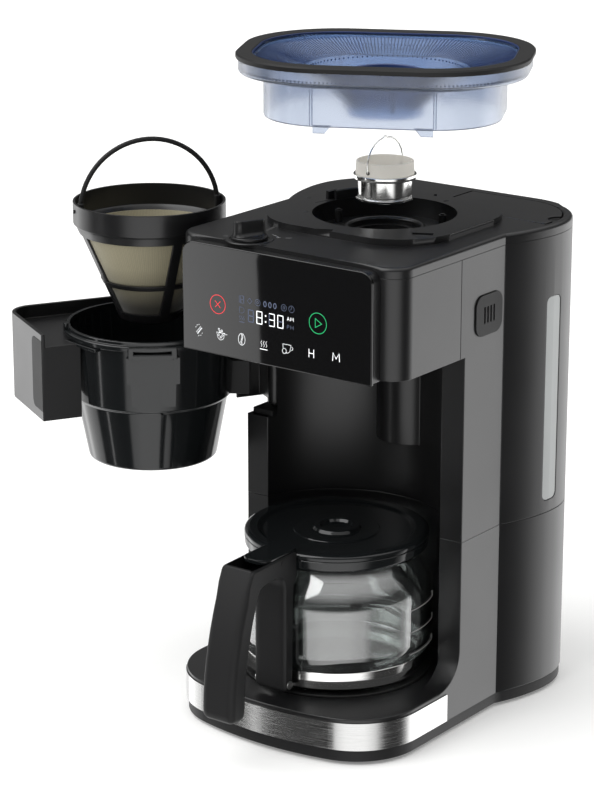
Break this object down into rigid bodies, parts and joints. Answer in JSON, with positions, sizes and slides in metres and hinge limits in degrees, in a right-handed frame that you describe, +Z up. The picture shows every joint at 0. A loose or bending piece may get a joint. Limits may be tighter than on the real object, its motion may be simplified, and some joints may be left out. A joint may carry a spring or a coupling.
{
  "type": "bean to cup coffee machine",
  "caption": "Black bean to cup filter coffee machine, drawn open: lifted bean hopper and burr, swung-out basket holder with its filter raised, glass carafe on a warming plate.",
  "frame": {"origin": "on the table under the middle of the touch panel's front face, on the underside of the front foot strip", "axes": "+X to the machine's right seen from the front, +Y to its back, +Z up"},
  "size_m": [0.3908, 0.344, 0.5168],
  "materials": {
    "shell_plastic": "satin black moulding",
    "gloss_plastic": "gloss black",
    "black_plastic": "matt black moulding",
    "steel": "brushed",
    "polished_steel": "polished",
    "rubber": "matt",
    "coated_metal": "non-stick coating",
    "clear_glass": "clear",
    "clear_plastic": "clear",
    "smoke_plastic": "translucent blue smoke",
    "frosted_plastic": "frosted",
    "filter_fabric": "fine mesh",
    "circuit_board": "coated board",
    "aluminium": "cast"
  },
  "bodies": {
    "machine": {"base_pan": "shell_plastic", "front_foot": "rubber", "rear_feet": "rubber", "base_screws": "steel", "lower_housing": "shell_plastic", "steel_band": "steel", "warming_plate": "coated_metal", "heater_tube": "aluminium", "feed_hose": "frosted_plastic", "column_shell": "shell_plastic", "rear_shell": "shell_plastic", "level_window": "clear_plastic", "water_tank": "clear_plastic", "tank_valve": "black_plastic", "head_shell": "shell_plastic", "display_frame": "black_plastic", "touch_panel": "gloss_plastic", "control_board": "circuit_board", "top_cover": "shell_plastic", "vent_plate": "black_plastic", "shower_head": "black_plastic", "water_riser": "frosted_plastic", "coffee_chute": "black_plastic", "gear_plate": "steel", "gear_cover": "black_plastic", "grind_chamber": "black_plastic", "grinder_motor": "steel", "hinge_bracket": "black_plastic", "hinge_pin": "steel", "lid_pin": "steel", "power_board": "circuit_board", "power_inlet": "black_plastic"},
    "tank_lid": {"tank_lid": "shell_plastic"},
    "selector_knob": {"selector_knob": "black_plastic"},
    "burr_drive": {"burr_shaft": "steel", "burr_gear": "frosted_plastic", "cone_burr": "steel"},
    "motor_rotor": {"motor_pinion": "steel"},
    "holder": {"basket_holder": "black_plastic", "brew_basket": "gloss_plastic"},
    "drip_valve": {"drip_valve": "black_plastic"},
    "filter": {"filter_frame": "black_plastic", "filter_mesh": "filter_fabric"},
    "filter_handle": {"filter_handle": "black_plastic"},
    "hopper": {"hopper_bowl": "smoke_plastic", "hopper_rim": "black_plastic"},
    "burr_set": {"burr_ring": "polished_steel", "burr_carrier": "frosted_plastic"},
    "burr_bail": {"burr_bail": "polished_steel"},
    "carafe": {"carafe_glass": "clear_glass", "carafe_band": "polished_steel", "carafe_collar": "gloss_plastic", "carafe_handle": "black_plastic", "handle_screws": "steel", "lid_hinge_pin": "steel"},
    "carafe_lid": {"carafe_lid": "gloss_plastic"}
  },
  "joints": [
    {"name": "tank_lid_hinge", "type": "hinge", "parent": "machine", "child": "tank_lid", "pos_m": [0.002, 0.24, 0.383], "axis": [0, -1, 0], "range_deg": [0, 50]},
    {"name": "knob_turn", "type": "hinge", "parent": "machine", "child": "selector_knob", "pos_m": [-0.042, 0.024, 0.39], "axis": [0, 0, 1], "range_deg": [-60, 60]},
    {"name": "burr_spin", "type": "hinge", "parent": "machine", "child": "burr_drive", "pos_m": [0, 0.14, 0.31], "axis": [0, 0, 1], "continuous": true},
    {"name": "motor_spin", "type": "hinge", "parent": "machine", "child": "motor_rotor", "pos_m": [0, 0.178, 0.31], "axis": [0, 0, 1], "continuous": true},
    {"name": "holder_swing", "type": "hinge", "parent": "machine", "child": "holder", "pos_m": [-0.09, 0.119, 0.26], "axis": [0, 0, 1], "range_deg": [0, 120]},
    {"name": "drip_valve_lift", "type": "slide", "parent": "holder", "child": "drip_valve", "axis": [0, 0, 1], "range_m": [0, 0.004], "stiffness_N_per_m": 300},
    {"name": "filter_lift", "type": "slide", "parent": "machine", "child": "filter", "axis": [0, 0, 1], "range_m": [-0.0965, 0]},
    {"name": "filter_handle_fold", "type": "hinge", "parent": "filter", "child": "filter_handle", "pos_m": [-0.16964, 0.06106, 0.3855], "axis": [0.5878, 0.809, 0], "range_deg": [-85, 85]},
    {"name": "hopper_lift", "type": "slide", "parent": "machine", "child": "hopper", "axis": [0, 0, 1], "range_m": [-0.078, 0]},
    {"name": "burr_lift", "type": "slide", "parent": "machine", "child": "burr_set", "axis": [0, 0, 1], "range_m": [-0.042, 0]},
    {"name": "burr_bail_fold", "type": "hinge", "parent": "burr_set", "child": "burr_bail", "pos_m": [0, 0.14, 0.4243], "axis": [0, 1, 0], "range_deg": [-85, 85]},
    {"name": "carafe_pull", "type": "slide", "parent": "machine", "child": "carafe", "axis": [0, -1, 0], "range_m": [0, 0.16]},
    {"name": "carafe_lid_hinge", "type": "hinge", "parent": "carafe", "child": "carafe_lid", "pos_m": [0, -0.01, 0.1496], "axis": [-1, 0, 0], "range_deg": [-30, 0]}
  ],
  "couplings": [
    {"joint": "motor_spin", "follows": "burr_spin", "ratio": -2.8}
  ]
}
